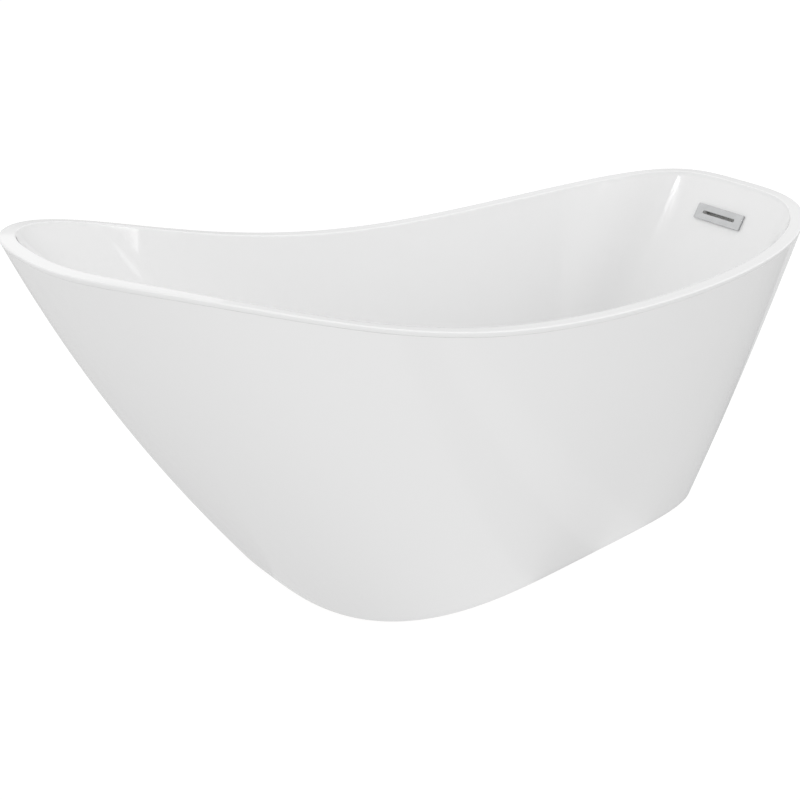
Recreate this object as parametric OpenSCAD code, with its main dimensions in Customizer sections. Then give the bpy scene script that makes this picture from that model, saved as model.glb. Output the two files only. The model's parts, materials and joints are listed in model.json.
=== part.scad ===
// Freestanding slipper bathtub: an acrylic basin in an outer skirt, carried by a steel
// frame on four adjustable feet, with a slot overflow, a push-to-close waste and a trap.
// +X points to the overflow end, +Y to the back, +Z up. The origin is on the floor,
// under the middle of the rim.

/* [Rim] */
// Overall length of the rim
tub_length = 1700; // [1650:10:1760]
// Overall width of the rim
tub_width = 700; // [690:5:760]
// Width of the flat top of the rim
rim_width = 28; // [26:1:34]
// Height of the lip under the rim's outer edge
lip_height = 10; // [9:0.5:13]
// Rounding of the rim's edges
rim_edge = 3; // [1.5:0.5:4]

/* [Rim heights, from the backrest end to the overflow end] */
// Rim height at the backrest end
rim_z_backrest = 724; // [700:1:750]
// Rim height a sixth of the way along
rim_z_shoulder = 660; // [640:1:680]
// Rim height a third of the way along
rim_z_arm = 581; // [565:1:600]
// Rim height at mid length
rim_z_middle = 537; // [525:1:550]
// Rim height two thirds of the way along
rim_z_saddle = 529; // [515:1:540]
// Rim height five sixths of the way along
rim_z_knee = 545; // [535:1:560]
// Rim height at the overflow end
rim_z_overflow = 590; // [585:1:610]

/* [Skirt] */
// Gap between the skirt and the floor
floor_gap = 4; // [4:0.5:8]
// Thickness of the skirt
skirt_wall = 4; // [3:0.5:5]
// Length of the skirt at the floor
foot_length = 960; // [940:10:980]
// Width of the skirt at the floor, at mid length
foot_width = 594; // [580:2:610]
// Distance of the skirt's foot from mid length, towards the overflow
foot_offset = 90; // [80:5:100]

/* [Basin] */
// Thickness of the basin's wall
basin_wall = 5; // [4:0.5:5]
// Height of the basin's floor above the room's floor
basin_floor = 145; // [145:1:150]
// Distance of the drain from mid length, towards the overflow
drain_x = 370; // [360:1:375]

/* [Overflow] */
// Width of the overflow cover
cover_width = 130; // [128:1:134]
// Height of the overflow cover
cover_height = 35; // [33:1:38]
// Height of the overflow cover's centre above the floor
cover_z = 517; // [505:1:520]

/* [Feet] */
// Length of a foot's pad across
pad_diameter = 50; // [40:1:56]
// Diameter of a foot's threaded stem
stem_diameter = 12; // [10:1:14]

/* [Hidden] */

$fn = 64;
eps = 0.1; // how far a cutter runs past the face it cuts

// Outline of the rim: half sizes and the squareness of its two ends
half_l = tub_length / 2;
half_w = tub_width / 2;
rim_square = [2.65, 3.3];
rim_stations = [
    rim_z_backrest, rim_z_shoulder, rim_z_arm, rim_z_middle,
    rim_z_saddle, rim_z_knee, rim_z_overflow
];
last_station = len(rim_stations) - 1;

// Outline of the skirt at the floor, narrower towards the overflow end
foot_square = [3, 5.5];
foot_taper = -0.2;
// How far the skirt's wall swells out at mid height: backrest end, sides, overflow end
swell_backrest = 31;
swell_side = 8;
swell_overflow = 4;

// Outline of the basin at its floor, where the walls would meet it without a fillet
bed_length = 890;
bed_width = 480;
bed_offset = 85;
bed_square = [3, 4];
bed_taper = -0.15;
bed_middle = [130, 0];   // the point that the floor's fillet closes in on
basin_swell = 14;        // how far the basin's wall swells out at mid height
fillet_wall = 0.2;       // share of the wall's height that the floor's fillet takes
fillet_floor = 0.25;     // share of the floor that it takes

ring_count = 80;         // points round each ring of the shells
ring = [for (i = [0 : ring_count - 1]) i];

// Levels of the basin's inner wall, as shares of its height, and steps of its fillet
wall_levels = [0.32, 0.45, 0.6, 0.75, 0.87, 0.95];
fillet_steps = 5;
// Levels of the skirt's wall, as shares of its height
skirt_levels = [0.12, 0.25, 0.4, 0.55, 0.7, 0.85];

// Rim section: how far each face lies in from the rim's outer edge
skirt_reveal = 0.8;      // the skirt sits this far in from the lip
lip_wall = 5;            // thickness of the lip
tongue_in = 5.6;         // outer face of the skirt's tongue behind the lip
tongue_wall = 4;
bond_gap = 1.2;          // room for the bond between the skirt and its stiffener
flange_wall = 6;         // thickness of the flat top of the rim

// Base board and frame, stacked down from the basin's underside
basin_under = basin_floor - basin_wall;
board_t = 12;
board_z = basin_under - board_t;
board_x = [-240, 480];
board_w = 300;
board_corner = 30;
board_hole_r = 46;       // clears the waste's flange and gasket
rail_h = 30;
rail_w = 25;
rail_y = 110;
rail_x = [-265, 500];
rail_z = board_z - rail_h;
bar_h = 20;
bar_w = 30;
bar_z = rail_z - bar_h;
bar_x = [-190, 450];
bar_half = 205;
tube_wall = 2;
rail_screw_x = [-60, 90, 240];
bolt_r = 4;
bolt_hole_r = 4.2;
screw_r = 2.2;
screw_hole_r = 2.4;
screw_bite = 8;          // length of the screw in the board
tee_barrel_r = 5;
tee_flange_r = 9.5;
tee_flange_t = 1.5;

// Feet
foot_y = 180;
foot_names = ["front_left", "front_right", "rear_left", "rear_right"];
foot_places = [
    [bar_x[0], -foot_y], [bar_x[1], -foot_y],
    [bar_x[0], foot_y], [bar_x[1], foot_y]
];
sole_t = 3;
pad_t = 12;
stem_r = stem_diameter / 2;
stem_bottom = 9;
stem_top = 127;
stem_play = 0.05;        // radial clearance of the stem in its nuts
foot_nut_h = 10;
foot_nut_r = 11;
bar_hole_r = stem_r + 0.8;
pad_rim_h = 4;           // height of the pad's straight edge

// Drain and waste, stacked on and under the basin's floor
seat_depth = 1.5;
seat_r = 37;
drain_hole_r = 24;
gasket_t = 1;
flange_r = 35.5;
flange_t = 2;
flange_z = basin_floor - seat_depth + gasket_t;
flange_top = flange_z + flange_t;
throat_r = 22.5;
throat_bore = 20;
throat_bottom = 106;
web_z = 110;
web_h = 6;
waste_gasket_t = 3;
waste_top = basin_under - waste_gasket_t;
waste_r = 34;
waste_wall = 4;
waste_top_r = 38;
waste_top_t = 5;
waste_roof = 8;          // solid height over the waste's chamber
waste_bottom = 94;
spigot_r = 23.5;
spigot_bore = 19;
spigot_bottom = 70;
inlet_z = 113;
nipple_r = 8;
nipple_bore = 6;
nipple_end = drain_x + waste_r + 16;

// Push-to-close plug, drawn open
plug_travel = 8;
cap_r = 31;
cap_t = 6;
cap_z = flange_top + plug_travel;
spindle_r = 3;
spindle_bite = 3;        // length of the spindle in the cap
seal_h = 4;
seal_bore = 8;
spindle_play = 0.06;
piston_r = 5.2;
piston_h = 2;
cartridge_r = 7.5;
cartridge_bore = 5.5;
cartridge_bottom = 102;
cartridge_top = 134;
cartridge_floor = 2;
cartridge_lid = 2;
spring_base = cartridge_bottom + cartridge_floor;
spring_top = 120;
spring_turns = 5;
spring_wire = 0.5;
spring_r = 4.3;
spring_sides = 8;
spring_steps = 14;

// Trap
union_r = 31;
union_top = 84;
union_bottom = 62;
union_lip = 3;           // thickness of the nut's lip under the trap's collar
washer_t = 1.2;
collar_r = 23;
collar_gap = 0.3;        // the trap turns under the washer and over the nut's lip
collar_top = spigot_bottom - washer_t - collar_gap;
collar_t = 3;
neck_r = 20.5;
neck_bore = 17;
cup_r = 42;
cup_wall = 3;
cup_z = 8;
cup_top = 60;
dip_bottom = 20;
weir_y = 29;
weir_top = 46;
weir_w = 54;
weir_t = 2;
branch_z = 46;           // the level passage from the cup to the outlet
branch_r = 14;
branch_bore = 11;
outlet_y = 85;
outlet_r = 23;
outlet_bore = 17;
outlet_mouth = 14;
socket_r = 20.2;         // a 40 mm pipe slides in
socket_depth = 18;
seal_t = 3;
seal_gap = 0.4;
nut_lip = 4.4;           // thickness of the outlet nut's lip, under the seal
nut_thread = 15.6;       // length of the nut round the outlet
nut_wall = 5;
nut_rib = 2;             // how far the nut's ribs stand out
nut_bottom = outlet_mouth - seal_gap - seal_t - nut_lip - 0.2;

// Overflow, in a frame on the wall: a across, b up the wall, c into the tub
front_gap = 1;           // the wall curves forward this much across the cover
cover_depth = 4.5;
cover_wall = 1.5;
cover_corner = 1.5;
slot_w = 90;
slot_h = 7;
wall_slot = [96, 16];
seat_flange = [124, 29];
seat_corner = 3;
seat_t = 1.5;
seat_slot = [88, 9];
body_size = [118, 30];
body_corner = 4;
body_depth = 14;
body_wall = 2;
overflow_gasket_t = 2;
body_back = -basin_wall - overflow_gasket_t - 0.2;
overflow_screw_a = 55;
overflow_screw_r = 2;
overflow_screw_grip = 8; // length of the screw in the body
chute_w = 36;
chute_drop = 78;
nipple_c = -18;          // the hose nipple's axis behind the wall
upper_nipple_drop = 92;
hose_r = 10.5;
hose_nut_r = 11.5;
hose_nut_len = 18;
hose_nut_grip = 14;      // length of the nipple inside its nut
nut_gap = 0.2;           // end gap between nut and nipple shoulder
hose_gap = 0.3;          // end gap between nut and hose
hose_sides = 12;
hose_steps = 3;
// Middle of the hose's route as [x, z]; its two ends follow from its nuts
hose_middle = [[690, 322], [645, 256], [605, 196], [560, 145], [505, 117]];

// ---- outlines ----

function signed_pow(v, p) = sign(v) * pow(abs(v), p);

// Direction i of a ring, spread so that the points lie evenly along the outline
function ring_dir(i) =
    let (
        a = 360 * i / ring_count,
        v = [signed_pow(cos(a), 1.5), signed_pow(sin(a), 1.5)]
    )
    v / norm(v);

// A superellipse with its own squareness at each end, tapered along X
function outline(d, length, width, square, taper, offset) =
    let (
        n = d[0] < 0 ? square[0] : square[1],
        u = signed_pow(d[0], 2 / n),
        v = signed_pow(d[1], 2 / n)
    )
    [offset + u * length / 2, v * (1 + taper * u) * width / 2];

function rim_point(i) = outline(ring_dir(i), tub_length, tub_width, rim_square, 0, 0);
function foot_point(i) =
    outline(ring_dir(i), foot_length, foot_width, foot_square, foot_taper, foot_offset);
function bed_point(i) =
    outline(ring_dir(i), bed_length, bed_width, bed_square, bed_taper, bed_offset);

// Outward direction of the rim's outline at point i
function rim_out(i) =
    let (
        p = rim_point(i),
        n = p[0] < 0 ? rim_square[0] : rim_square[1],
        g = [
            signed_pow(p[0] / half_l, n - 1) / half_l,
            signed_pow(p[1] / half_w, n - 1) / half_w
        ]
    )
    g / norm(g);

// Rim height at u = -1 to 1 along the tub: the smooth curve through the stations
function product(v, k = 0) = k == len(v) ? 1 : v[k] * product(v, k + 1);
function total(v, k = 0) = k == len(v) ? 0 : v[k] + total(v, k + 1);
function station_u(k) = 2 * k / last_station - 1;
function station_share(u, k) =
    product([
        for (m = [0 : last_station])
            m == k ? 1 : (u - station_u(m)) / (station_u(k) - station_u(m))
    ]);
function rim_z(x) =
    total([for (k = [0 : last_station]) rim_stations[k] * station_share(x / half_l, k)]);

rim_xy = [for (i = ring) rim_point(i)];
rim_heights = [for (p = rim_xy) rim_z(p[0])];
rim_normals = [for (i = ring) rim_out(i)];
foot_xy = [for (i = ring) foot_point(i)];
bed_xy = [for (i = ring) bed_point(i)];

// Extra swell of the skirt at point i
function swell(i) =
    let (c = ring_dir(i)[0])
    swell_side + ((c < 0 ? swell_backrest : swell_overflow) - swell_side) * c * c;

// Point of the skirt's outer face at height z, moved in by inset
function skirt_point(i, z, inset) =
    let (
        s = z / (rim_heights[i] - rim_edge),
        out = 4 * s * (1 - s) * swell(i) - inset,
        p = foot_xy[i] * (1 - s) + rim_xy[i] * s + rim_normals[i] * out
    )
    [p[0], p[1], z];

// Point of the rim, drop below its flat top
function rim_section(i, inset, drop) =
    let (p = rim_xy[i] - rim_normals[i] * inset)
    [p[0], p[1], rim_heights[i] - drop];

// Point of the basin's inner wall at share s of its height
function basin_point(i, s) =
    let (
        top = rim_xy[i] - rim_normals[i] * rim_width,
        p = bed_xy[i] * (1 - s) + top * s + rim_normals[i] * 4 * s * (1 - s) * basin_swell
    )
    [p[0], p[1], basin_floor + s * (rim_heights[i] - rim_edge - basin_floor)];

// Point of the fillet between floor and wall, t = 0 on the floor to 1 on the wall
function fillet_point(i, t) =
    let (
        q = bed_xy[i] + rim_normals[i] * 4 * fillet_wall * fillet_wall * basin_swell,
        corner = [q[0], q[1], basin_floor],
        middle = [bed_middle[0], bed_middle[1], basin_floor],
        start = corner + (middle - corner) * fillet_floor,
        end = basin_point(i, fillet_wall)
    )
    start * (1 - t) * (1 - t) + corner * 2 * t * (1 - t) + end * t * t;

// ---- solids from rings of points ----

function wrap(i) = (i + ring_count) % ring_count;
function flat(rows) = [for (row = rows) for (p = row) p];
function band(k, m) = [
    for (i = ring) each [
        [k * ring_count + i, m * ring_count + wrap(i + 1), k * ring_count + wrap(i + 1)],
        [k * ring_count + i, m * ring_count + i, m * ring_count + wrap(i + 1)]
    ]
];

// Rows from the underside's middle, out and over the rim, to the upper side's middle
module capped_skin(rows) {
    last = len(rows) - 1;
    sides = [for (k = [0 : last - 1]) each band(k, k + 1)];
    first_cap = [for (i = ring) i];
    last_cap = [for (i = ring) last * ring_count + ring_count - 1 - i];
    polyhedron(flat(rows), concat(sides, [first_cap, last_cap]));
}

// Rows that go once round a closed section
module looped_skin(rows) {
    last = len(rows) - 1;
    sides = [for (k = [0 : last]) each band(k, (k + 1) % (last + 1))];
    polyhedron(flat(rows), sides);
}

// A row moved out of the basin by its wall thickness, along the surface's own normal
function offset_row(rows, k) = [
    for (i = ring)
        let (
            along = rows[k][wrap(i + 1)] - rows[k][wrap(i - 1)],
            up = rows[k + 1][i] - rows[k - 1][i],
            n = cross(along, up)
        )
        rows[k][i] + n / norm(n) * basin_wall
];

// ---- shells ----

module basin_blank() {
    fillet = [
        for (k = [0 : fillet_steps])
            [for (i = ring) fillet_point(i, k / fillet_steps)]
    ];
    wall = [for (s = wall_levels) [for (i = ring) basin_point(i, s)]];
    inner = concat(fillet, wall, [[for (i = ring) basin_point(i, 1)]]);
    floor_row = [for (p = inner[0]) p - [0, 0, basin_wall]];
    under = [for (k = [1 : len(inner) - 2]) offset_row(inner, k)];
    soft = rim_edge * 0.3;
    rim = [
        [for (i = ring) rim_section(i, rim_width - basin_wall, flange_wall + 1)],
        [for (i = ring) rim_section(i, lip_wall, flange_wall)],
        [for (i = ring) skirt_point(i, rim_heights[i] - lip_height, lip_wall)],
        [for (i = ring) skirt_point(i, rim_heights[i] - lip_height, 0)],
        [for (i = ring) rim_section(i, 0, rim_edge)],
        [for (i = ring) rim_section(i, soft, soft)],
        [for (i = ring) rim_section(i, rim_edge, 0)],
        [for (i = ring) rim_section(i, rim_width - rim_edge, 0)],
        [for (i = ring) rim_section(i, rim_width - soft, soft)]
    ];
    inner_down = [for (k = [len(inner) - 1 : -1 : 0]) inner[k]];
    capped_skin(concat([floor_row], under, rim, inner_down));
}

module basin_shell() {
    color("white") difference() {
        basin_blank();
        translate([drain_x, 0, basin_under - eps])
            cylinder(r = drain_hole_r, h = basin_wall + 2 * eps);
        translate([drain_x, 0, basin_floor - seat_depth])
            cylinder(r = seat_r, h = seat_depth + eps);
        on_wall(-2 * basin_wall) {
            linear_extrude(4 * basin_wall) slot_shape(wall_slot[0], wall_slot[1]);
            overflow_screw_places() cylinder(r = overflow_screw_r + 0.6, h = 4 * basin_wall);
        }
    }
}

module outer_skirt() {
    top = lip_height + 0.5;
    inset_in = skirt_reveal + skirt_wall;
    tongue_back = tongue_in + tongue_wall;
    outer = [
        [for (i = ring) skirt_point(i, floor_gap, skirt_reveal + 1.5)],
        [for (i = ring) skirt_point(i, floor_gap + 1.5, skirt_reveal)],
        for (s = skirt_levels)
            [for (i = ring) skirt_point(i, s * rim_heights[i], skirt_reveal)],
        [for (i = ring) skirt_point(i, rim_heights[i] - top, skirt_reveal)]
    ];
    tongue = [
        [for (i = ring) skirt_point(i, rim_heights[i] - top, tongue_in)],
        [for (i = ring) rim_section(i, tongue_in, flange_wall + 0.5)],
        [for (i = ring) rim_section(i, tongue_back, flange_wall + 0.5)],
        [for (i = ring) skirt_point(i, rim_heights[i] - 2 * top, tongue_back)],
        [for (i = ring) skirt_point(i, rim_heights[i] - 3 * top, inset_in)]
    ];
    levels_down = [for (k = [len(skirt_levels) - 1 : -1 : 0]) skirt_levels[k]];
    inner = [
        for (s = levels_down) [for (i = ring) skirt_point(i, s * rim_heights[i], inset_in)],
        [for (i = ring) skirt_point(i, floor_gap, inset_in)]
    ];
    color("white") looped_skin(concat(outer, tongue, inner));
}

// Plywood strip bonded inside the skirt's lower edge
module skirt_stiffener() {
    outer = skirt_reveal + skirt_wall + bond_gap;
    inner = outer + 12;
    low = floor_gap + 2;
    high = low + 40;
    color("burlywood") looped_skin([
        [for (i = ring) skirt_point(i, low, outer)],
        [for (i = ring) skirt_point(i, high, outer)],
        [for (i = ring) skirt_point(i, high, inner)],
        [for (i = ring) skirt_point(i, low, inner)]
    ]);
}

// ---- base board and frame ----

module rounded_rect(w, h, r) {
    square([w - 2 * r, h], center = true);
    square([w, h - 2 * r], center = true);
    for (x = [-1, 1], y = [-1, 1])
        translate([x * (w / 2 - r), y * (h / 2 - r)]) circle(r);
}

module slot_shape(w, h) {
    square([w - h, h], center = true);
    for (x = [-1, 1]) translate([x * (w - h) / 2, 0]) circle(h / 2);
}

module frame_bolt_places() {
    for (x = bar_x, y = [-rail_y, rail_y]) translate([x, y, 0]) children();
}

module rail_screw_places() {
    for (x = rail_screw_x, s = [-1, 1]) translate([x, s * rail_y, 0]) children();
}

module foot_at(k) {
    translate([foot_places[k][0], foot_places[k][1], 0]) children();
}

module hexagon(r, h) {
    cylinder(r = r, h = h, $fn = 6);
}

module base_board() {
    color("burlywood") difference() {
        translate([(board_x[0] + board_x[1]) / 2, 0, board_z])
            linear_extrude(board_t)
                rounded_rect(board_x[1] - board_x[0], board_w, board_corner);
        translate([drain_x, 0, board_z - eps]) cylinder(r = board_hole_r, h = board_t + 2 * eps);
        frame_bolt_places() {
            translate([0, 0, board_z - eps]) cylinder(r = tee_barrel_r, h = board_t + 2 * eps);
            translate([0, 0, basin_under - tee_flange_t])
                cylinder(r = tee_flange_r, h = tee_flange_t + eps);
        }
        rail_screw_places()
            translate([0, 0, board_z - eps]) cylinder(r = screw_r, h = screw_bite + 1);
    }
}

// A square tube along X, from x = 0 to length, with its lower face at z = 0
module tube_along_x(length, w, h) {
    difference() {
        translate([0, -w / 2, 0]) cube([length, w, h]);
        translate([-eps, tube_wall - w / 2, tube_wall])
            cube([length + 2 * eps, w - 2 * tube_wall, h - 2 * tube_wall]);
    }
}

module frame_rail(side) {
    color("silver") difference() {
        translate([rail_x[0], side * rail_y, rail_z])
            tube_along_x(rail_x[1] - rail_x[0], rail_w, rail_h);
        frame_bolt_places()
            translate([0, 0, rail_z - eps]) cylinder(r = bolt_hole_r, h = rail_h + 2 * eps);
        rail_screw_places()
            translate([0, 0, rail_z - eps]) cylinder(r = screw_hole_r, h = rail_h + 2 * eps);
    }
}

module crossbar(x) {
    color("silver") difference() {
        translate([x, -bar_half, bar_z])
            rotate([0, 0, 90]) tube_along_x(2 * bar_half, bar_w, bar_h);
        frame_bolt_places()
            translate([0, 0, bar_z - eps]) cylinder(r = bolt_hole_r, h = bar_h + 2 * eps);
        for (s = [-1, 1]) translate([x, s * foot_y, bar_z - eps])
            cylinder(r = bar_hole_r, h = bar_h + 2 * eps);
    }
}

// A plastic plug for a tube's end, its face at x = 0 and its body towards -X
module end_cap(w, h) {
    play = 0.1;
    body = [12, w - 2 * tube_wall - play, h - 2 * tube_wall - play];
    translate([0, -w / 2, 0]) cube([2, w, h]);
    translate([-body[0], -body[1] / 2, tube_wall + play / 2]) cube(body);
}

module frame_end_caps() {
    color("dimgray") {
        for (s = [-1, 1]) {
            translate([rail_x[1], s * rail_y, rail_z]) end_cap(rail_w, rail_h);
            translate([rail_x[0], s * rail_y, rail_z])
                mirror([1, 0, 0]) end_cap(rail_w, rail_h);
            for (x = bar_x) translate([x, s * bar_half, bar_z])
                rotate([0, 0, s * 90]) end_cap(bar_w, bar_h);
        }
    }
}

module frame_bolts() {
    head_r = 7.5;
    head_h = 5.3;
    washer_r = 10;
    washer_h = 1.6;
    reach = 10;          // length of the bolt in its tee nut
    color("gainsboro") frame_bolt_places() translate([0, 0, bar_z - washer_h]) {
        cylinder(r = washer_r, h = washer_h);
        translate([0, 0, -head_h]) hexagon(head_r, head_h);
        cylinder(r = bolt_r, h = washer_h + bar_h + rail_h + reach);
    }
}

module board_tee_nuts() {
    play = 0.1;
    below = 1;           // the barrel stops this far above the board's underside
    color("gainsboro") frame_bolt_places() difference() {
        union() {
            translate([0, 0, basin_under - tee_flange_t])
                cylinder(r = tee_flange_r - play, h = tee_flange_t - play);
            translate([0, 0, board_z + below])
                cylinder(r = tee_barrel_r - play / 2, h = board_t - below - tee_flange_t);
        }
        translate([0, 0, board_z]) cylinder(r = bolt_r + play / 2, h = board_t + eps);
    }
}

module rail_screws() {
    head_h = 2.5;
    color("goldenrod") rail_screw_places() translate([0, 0, rail_z - head_h]) {
        cylinder(r1 = 3.5, r2 = 4.8, h = head_h);
        cylinder(r = screw_r - 0.05, h = head_h + rail_h + screw_bite);
    }
}

// ---- feet ----

module foot_nut(z) {
    difference() {
        translate([0, 0, z]) hexagon(foot_nut_r, foot_nut_h);
        translate([0, 0, z - eps])
            cylinder(r = stem_r + stem_play, h = foot_nut_h + 2 * eps);
    }
}

module foot_weld_nuts() {
    color("silver") for (k = [0 : 3]) foot_at(k) foot_nut(bar_z + bar_h);
}

module foot_lock_nuts() {
    color("gainsboro") for (k = [0 : 3]) foot_at(k) foot_nut(bar_z - foot_nut_h);
}

module foot_stem(k) {
    collar_h = 6;
    collar_across = 9.5;
    color("gainsboro") foot_at(k) {
        translate([0, 0, stem_bottom]) cylinder(r = stem_r, h = stem_top - stem_bottom);
        translate([0, 0, sole_t + pad_t]) hexagon(collar_across, collar_h);
    }
}

module foot_pad(k) {
    top_r = 13;
    color("dimgray") foot_at(k) difference() {
        union() {
            translate([0, 0, sole_t]) cylinder(d = pad_diameter, h = pad_rim_h);
            translate([0, 0, sole_t + pad_rim_h])
                cylinder(r1 = pad_diameter / 2, r2 = top_r, h = pad_t - pad_rim_h);
        }
        translate([0, 0, stem_bottom]) cylinder(r = stem_r, h = pad_t);
    }
}

module foot_sole(k) {
    color("black") foot_at(k) cylinder(d = pad_diameter - 2, h = sole_t);
}

// ---- overflow ----

// The wall's middle line at the overflow end, as [x, z] at height z, and its lean
overflow_share = (cover_z - basin_floor) / (rim_heights[0] - rim_edge - basin_floor);
overflow_at = basin_point(0, overflow_share);
overflow_up = basin_point(0, overflow_share + 0.01) - basin_point(0, overflow_share - 0.01);
wall_lean = atan2(overflow_up[0], overflow_up[2]);

// Places children in the wall's frame, c out of the wall's inner face
module on_wall(c = 0) {
    translate(overflow_at)
        rotate([0, wall_lean, 0])
            rotate([90, 0, -90])
                translate([0, 0, c]) children();
}

// The same frame for a point [b, c] in the tub's middle plane
function wall_xz(b, c) = [
    overflow_at[0] + b * sin(wall_lean) - c * cos(wall_lean),
    overflow_at[2] + b * cos(wall_lean) + c * sin(wall_lean)
];

module overflow_screw_places() {
    for (s = [-1, 1]) translate([s * overflow_screw_a, 0, 0]) children();
}

module overflow_cover() {
    inside_w = cover_width - 2 * cover_wall;
    inside_h = cover_height - 2 * cover_wall;
    color("silver") on_wall(front_gap) difference() {
        linear_extrude(cover_depth) rounded_rect(cover_width, cover_height, cover_corner);
        translate([0, 0, -eps]) linear_extrude(cover_depth - cover_wall + eps)
            square([inside_w, inside_h], center = true);
        linear_extrude(cover_depth + eps) slot_shape(slot_w, slot_h);
    }
}

module overflow_seat() {
    spout_back = -basin_wall - overflow_gasket_t;
    color("whitesmoke") on_wall() difference() {
        union() {
            translate([0, 0, front_gap]) linear_extrude(seat_t)
                rounded_rect(seat_flange[0], seat_flange[1], seat_corner);
            translate([0, 0, spout_back]) linear_extrude(front_gap - spout_back)
                slot_shape(wall_slot[0] - 1, wall_slot[1] - 1);
        }
        translate([0, 0, spout_back - eps])
            linear_extrude(front_gap + seat_t - spout_back + 2 * eps)
                slot_shape(seat_slot[0], seat_slot[1]);
        overflow_screw_places()
            cylinder(r = overflow_screw_r + 0.1, h = front_gap + seat_t + eps);
    }
}

module overflow_gasket() {
    thick = overflow_gasket_t - 0.1;
    color("black") on_wall(-basin_wall - overflow_gasket_t - 0.1) difference() {
        linear_extrude(thick) rounded_rect(body_size[0], body_size[1], body_corner);
        translate([0, 0, -eps]) {
            linear_extrude(thick + 2 * eps) slot_shape(wall_slot[0], wall_slot[1]);
            overflow_screw_places()
                cylinder(r = overflow_screw_r + 0.2, h = thick + 2 * eps);
        }
    }
}

module overflow_body() {
    floor_c = body_back - body_depth;
    color("whitesmoke") on_wall() difference() {
        union() {
            translate([0, 0, floor_c]) linear_extrude(body_depth)
                rounded_rect(body_size[0], body_size[1], body_corner);
            translate([-chute_w / 2, -chute_drop, floor_c])
                cube([chute_w, chute_drop, body_depth]);
            translate([0, -chute_drop, nipple_c]) rotate([90, 0, 0])
                cylinder(r = nipple_r, h = upper_nipple_drop - chute_drop);
        }
        translate([0, 0, floor_c + body_wall]) linear_extrude(body_depth)
            slot_shape(wall_slot[0], wall_slot[1] + 4);
        translate([body_wall - chute_w / 2, body_wall - chute_drop, floor_c + body_wall])
            cube([chute_w - 2 * body_wall, chute_drop, body_depth - 2 * body_wall]);
        translate([0, body_wall - chute_drop + eps, nipple_c]) rotate([90, 0, 0])
            cylinder(r = nipple_bore, h = upper_nipple_drop);
        translate([0, 0, body_back - overflow_screw_grip - 1]) overflow_screw_places()
            cylinder(r = overflow_screw_r, h = overflow_screw_grip + 1 + eps);
    }
}

module overflow_screws() {
    length = overflow_screw_grip - body_back + front_gap + seat_t;
    color("gainsboro") on_wall(body_back - overflow_screw_grip) overflow_screw_places() {
        cylinder(r = overflow_screw_r - 0.02, h = length);
        translate([0, 0, length]) cylinder(r1 = 3.6, r2 = 2.6, h = 1.3);
    }
}

// Twelve ribs round a hand nut, out to radius r
module grip_ribs(r, w, h) {
    for (k = [0 : 11]) rotate([0, 0, k * 30]) translate([0, -w / 2, 0]) cube([r, w, h]);
}

// A compression nut round a nipple, along +Z from z = 0, with grip ribs
module hose_nut() {
    difference() {
        union() {
            cylinder(r = hose_nut_r - 0.8, h = hose_nut_len);
            grip_ribs(hose_nut_r, 2.4, hose_nut_len);
        }
        translate([0, 0, -eps]) cylinder(r = nipple_r + 0.05, h = hose_nut_grip + eps);
        cylinder(r = nipple_bore, h = hose_nut_len + eps);
    }
}

module hose_nut_upper() {
    color("whitesmoke") on_wall()
        translate([0, -chute_drop - nut_gap, nipple_c]) rotate([90, 0, 0]) hose_nut();
}

module hose_nut_lower() {
    color("whitesmoke") translate([nipple_end - hose_nut_grip, 0, inlet_z])
        rotate([0, 90, 0]) hose_nut();
}

// ---- hose ----

hose_high = chute_drop + nut_gap + hose_nut_len + hose_gap;
hose_low = nipple_end - hose_nut_grip + hose_nut_len + hose_gap;
hose_straight = 25;      // the hose leaves each nut straight for this length
hose_route = concat(
    [wall_xz(-hose_high, nipple_c), wall_xz(-hose_high - hose_straight, nipple_c)],
    hose_middle,
    [[hose_low + hose_straight, inlet_z], [hose_low, inlet_z]]
);
route_last = len(hose_route) - 1;
route_ends = concat(
    [2 * hose_route[0] - hose_route[1]],
    hose_route,
    [2 * hose_route[route_last] - hose_route[route_last - 1]]
);

// A smooth curve through the route's points
function route_point(k, t) =
    let (a = route_ends[k], b = route_ends[k + 1], c = route_ends[k + 2], d = route_ends[k + 3])
    0.5 * (2 * b + (c - a) * t + (2 * a - 5 * b + 4 * c - d) * t * t
        + (3 * b - a - 3 * c + d) * t * t * t);
hose_line = [
    for (k = [0 : route_last - 1], m = [0 : hose_steps - 1]) route_point(k, m / hose_steps),
    hose_route[route_last]
];

// Direction of the line at point k
function line_dir(line, k) =
    let (
        last = len(line) - 1,
        v = line[min(k + 1, last)] - line[max(k - 1, 0)]
    )
    v / norm(v);

module overflow_hose() {
    last = len(hose_line) - 1;
    points = [
        for (k = [0 : last], m = [0 : hose_sides - 1])
            let (
                t = line_dir(hose_line, k),
                a = 360 * m / hose_sides,
                side = hose_r * sin(a)
            )
            [
                hose_line[k][0] - t[1] * side,
                hose_r * cos(a),
                hose_line[k][1] + t[0] * side
            ]
    ];
    sides = [
        for (k = [0 : last - 1], m = [0 : hose_sides - 1])
            let (n = (m + 1) % hose_sides, a = k * hose_sides, b = a + hose_sides)
            [a + m, b + m, b + n, a + n]
    ];
    first_cap = [for (m = [0 : hose_sides - 1]) m];
    last_cap = [for (m = [0 : hose_sides - 1]) (last + 1) * hose_sides - 1 - m];
    color("gray") polyhedron(points, concat(sides, [first_cap, last_cap]));
}

// ---- drain and waste ----

module at_drain(z = 0) {
    translate([drain_x, 0, z]) children();
}

module tube(r, bore, h) {
    difference() {
        cylinder(r = r, h = h);
        translate([0, 0, -eps]) cylinder(r = bore, h = h + 2 * eps);
    }
}

module drain_flange_gasket() {
    color("black") at_drain(flange_z - gasket_t) tube(flange_r - 1, drain_hole_r, gasket_t);
}

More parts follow.
